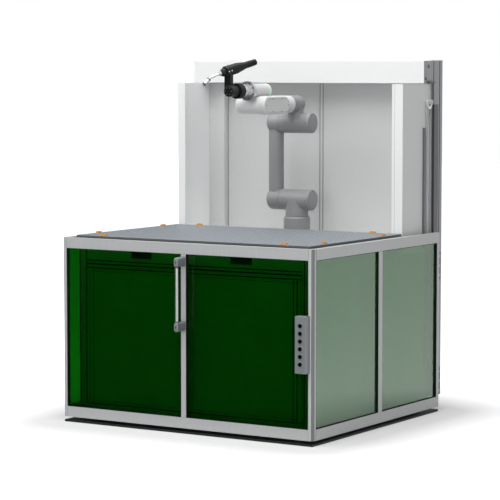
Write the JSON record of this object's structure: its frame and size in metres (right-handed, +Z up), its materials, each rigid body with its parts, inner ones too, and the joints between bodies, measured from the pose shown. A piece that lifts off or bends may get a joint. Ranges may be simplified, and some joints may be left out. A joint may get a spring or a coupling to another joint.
{
  "type": "robotic welding cell",
  "caption": "Table-type welding cell: a six-axis arm with a torch on a rear deck, a fixture table on a closed cabinet, and a three-sided tinted guard that lifts.",
  "frame": {"origin": "centre of the base plate's underside, on the floor", "axes": "+Z up, the front with the handle faces -Y, +X to the right seen from the front"},
  "size_m": [1.615, 1.633, 2.0132],
  "materials": {
    "frame_profile": "satin anodised",
    "screen": "tinted weld screen",
    "black_steel": "black powder coat",
    "white_panel": "white powder coat",
    "cabinet_panel": "light grey powder coat",
    "table_steel": "ground plate",
    "stop_orange": "orange",
    "rail_steel": "dark hardened steel",
    "bright_steel": "bright",
    "belt": "grey belt",
    "black_plastic": "black",
    "robot_grey": "smooth light grey",
    "robot_white": "smooth white",
    "light_ring": "lit ring",
    "box_grey": "grey"
  },
  "bodies": {
    "cell": {"base_plate": "black_steel", "cabinet_body": "cabinet_panel", "left_door": "cabinet_panel", "right_door": "cabinet_panel", "left_drawer_front": "cabinet_panel", "right_drawer_front": "cabinet_panel", "drawer_pulls": "black_plastic", "table_skirt": "black_steel", "table_plate": "table_steel", "table_stops": "stop_orange", "robot_deck": "white_panel", "left_wall": "white_panel", "right_wall": "white_panel", "left_back_panel": "white_panel", "right_back_panel": "white_panel", "header_box": "white_panel", "left_column": "frame_profile", "right_column": "frame_profile", "guide_rails": "rail_steel", "lift_pulleys": "bright_steel", "lift_belts": "belt", "seal_strips": "black_plastic", "robot_base": "robot_grey"},
    "guard": {"guard_front_frame": "frame_profile", "guard_left_frame": "frame_profile", "guard_right_frame": "frame_profile", "front_screens": "screen", "left_screens": "screen", "right_screens": "screen", "handle_bar": "frame_profile", "handle_brackets": "box_grey", "button_box": "box_grey", "push_buttons": "black_plastic", "left_carriages": "rail_steel", "right_carriages": "rail_steel"},
    "shoulder": {"robot_shoulder": "robot_grey"},
    "lower_arm": {"robot_lower_arm": "robot_grey"},
    "elbow": {"robot_elbow": "robot_grey"},
    "forearm": {"robot_forearm": "robot_white"},
    "wrist": {"robot_wrist": "robot_white", "light_ring": "light_ring"},
    "tool": {"tool_flange": "bright_steel", "torch_mount": "black_plastic", "torch_body": "black_plastic", "torch_neck": "bright_steel", "torch_nozzle": "bright_steel"}
  },
  "joints": [
    {"name": "guard_lift", "type": "slide", "parent": "cell", "child": "guard", "axis": [0, 0, 1], "range_m": [0, 0.84]},
    {"name": "base_turn", "type": "hinge", "parent": "cell", "child": "shoulder", "pos_m": [0, 0.4695, 1.1], "axis": [0, 0, 1], "range_deg": [-35, 35]},
    {"name": "shoulder_swing", "type": "hinge", "parent": "shoulder", "child": "lower_arm", "pos_m": [-0.146, 0.4695, 1.204], "axis": [1, 0, 0], "range_deg": [-10, 30]},
    {"name": "elbow_bend", "type": "hinge", "parent": "lower_arm", "child": "elbow", "pos_m": [0, 0.4695, 1.648], "axis": [-1, 0, 0], "range_deg": [-40, 30]},
    {"name": "forearm_roll", "type": "hinge", "parent": "elbow", "child": "forearm", "pos_m": [0, 0.4695, 1.757], "axis": [0, -1, 0], "range_deg": [-90, 90]},
    {"name": "wrist_bend", "type": "hinge", "parent": "forearm", "child": "wrist", "pos_m": [0, -0.0005, 1.757], "axis": [1, 0, 0], "range_deg": [-60, 60]},
    {"name": "tool_roll", "type": "hinge", "parent": "wrist", "child": "tool", "pos_m": [0, -0.0005, 1.837], "axis": [0, -1, 0], "range_deg": [-180, 180]}
  ]
}
